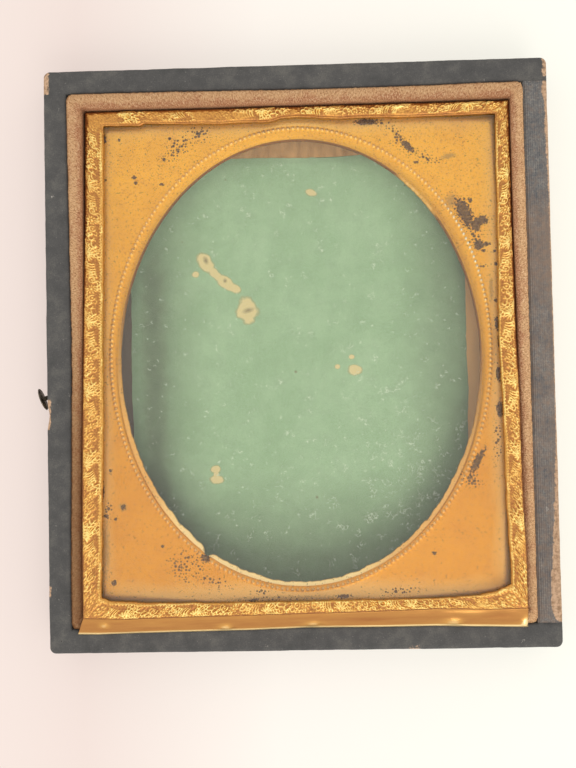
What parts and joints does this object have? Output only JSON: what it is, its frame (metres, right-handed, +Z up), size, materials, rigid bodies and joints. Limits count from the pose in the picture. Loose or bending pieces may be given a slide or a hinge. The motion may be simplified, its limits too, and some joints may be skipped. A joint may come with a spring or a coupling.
{
  "type": "hinged photograph case tray",
  "caption": "Image half of a small hinged photograph case: a leather-covered wooden tray with a velvet retainer that holds a packet of brass preserver, cover glass and oval mat.",
  "frame": {"origin": "middle of the tray's underside", "axes": "+Z up out of the tray, +Y to the head of the picture, +X to the hinge side"},
  "size_m": [0.0852, 0.0958, 0.0122],
  "materials": {
    "wood": "plain sawn softwood, bare",
    "leather": "dark grey-black embossed leather cloth, matt, worn brown at the corners",
    "spine_leather": "dark grey leather cloth, worn brown along the torn outer edge",
    "hinge_cloth": "dark ribbed cloth",
    "green_paper": "matt green paper with tan water stains",
    "stud_brass": "dark tarnished brass",
    "card": "grey-tan pasteboard",
    "velvet": "faded pinkish tan velvet pile",
    "gilt_foil": "stamped gilt foil, bright crests over reddish brown recesses",
    "mat_brass": "gilt brass sheet, satin, with dark tarnish spots",
    "glass": "clear sheet glass",
    "sealing_paper": "brown gummed paper"
  },
  "bodies": {
    "tray": {"base_board": "wood", "base_covering": "leather", "head_rail": "wood", "foot_rail": "wood", "catch_rail": "wood", "hinge_rail": "wood", "wall_covering": "leather", "spine_covering": "spine_leather", "inner_hinge_strip": "hinge_cloth", "lining_paper": "green_paper", "catch_stud": "stud_brass"},
    "retainer": {"retainer_card": "card", "retainer_velvet": "velvet"},
    "packet": {"preserver": "gilt_foil", "cover_glass": "glass", "mat": "mat_brass", "tape_head": "sealing_paper", "tape_foot": "sealing_paper", "tape_catch_side": "sealing_paper", "tape_hinge_side": "sealing_paper"}
  },
  "joints": [
    {"name": "retainer_lift", "type": "slide", "parent": "tray", "child": "retainer", "axis": [0, 0, 1], "range_m": [0, 0.012]},
    {"name": "packet_lift", "type": "slide", "parent": "retainer", "child": "packet", "axis": [0, 0, 1], "range_m": [0, 0.02]}
  ]
}
